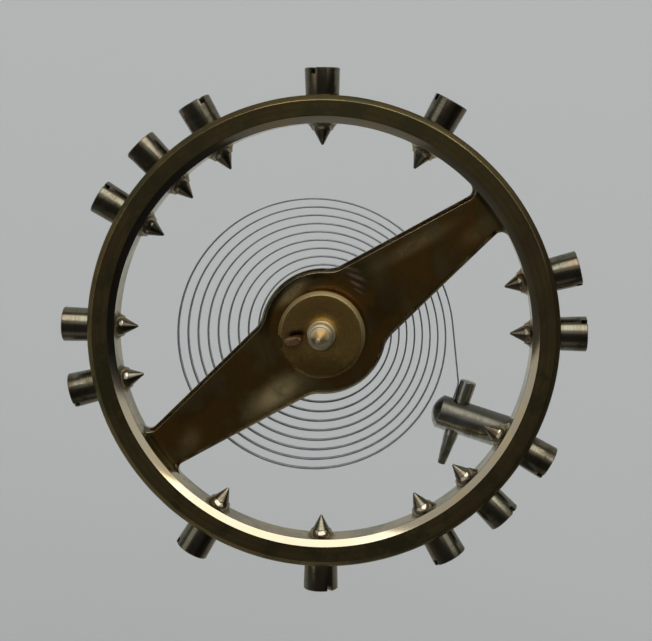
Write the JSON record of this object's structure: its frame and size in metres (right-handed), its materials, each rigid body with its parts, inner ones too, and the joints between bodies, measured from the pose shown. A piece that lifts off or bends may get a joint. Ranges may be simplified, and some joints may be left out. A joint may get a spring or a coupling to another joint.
{
  "type": "balance wheel",
  "caption": "Watch balance wheel with screwed rim, cross arm, staff, roller and jewel, flat hairspring, collet, stud and pins.",
  "frame": {"origin": "on the staff axis, halfway up the rim", "axes": "+Z along the staff, towards its roller end, which faced the camera; +X to the right and +Y up as in the picture"},
  "size_m": [0.0134, 0.0134, 0.0043],
  "materials": {
    "wheel_brass": "aged, circular-grained face with polished bevels",
    "screw_brass": "turned and polished, aged",
    "staff_steel": "polished",
    "roller_brass": "polished face",
    "jewel_ruby": "polished synthetic ruby",
    "spring_steel": "rolled strip, darkened",
    "collet_brass": "turned",
    "pin_brass": "drawn",
    "stud_steel": "turned, domed end polished",
    "stud_pin_steel": "drawn"
  },
  "bodies": {
    "stud": {"hairspring_stud": "stud_steel", "stud_pin": "stud_pin_steel"},
    "balance": {"balance_wheel": "wheel_brass", "balance_screw_01": "screw_brass", "balance_screw_02": "screw_brass", "balance_screw_03": "screw_brass", "balance_screw_04": "screw_brass", "balance_screw_05": "screw_brass", "balance_screw_06": "screw_brass", "balance_screw_07": "screw_brass", "balance_screw_08": "screw_brass", "balance_screw_09": "screw_brass", "balance_screw_10": "screw_brass", "balance_screw_11": "screw_brass", "balance_screw_12": "screw_brass", "balance_screw_13": "screw_brass", "balance_screw_14": "screw_brass", "balance_staff": "staff_steel", "roller_table": "roller_brass", "impulse_jewel": "jewel_ruby", "hairspring": "spring_steel", "hairspring_collet": "collet_brass", "collet_pin": "pin_brass"}
  },
  "joints": [
    {"name": "balance_swing", "type": "hinge", "parent": "stud", "child": "balance", "pos_m": [0, 0, 0], "axis": [0, 0, 1], "range_deg": [-300, 300], "stiffness_Nm_per_rad": 0.0000023, "deforming": ["hairspring"]}
  ]
}
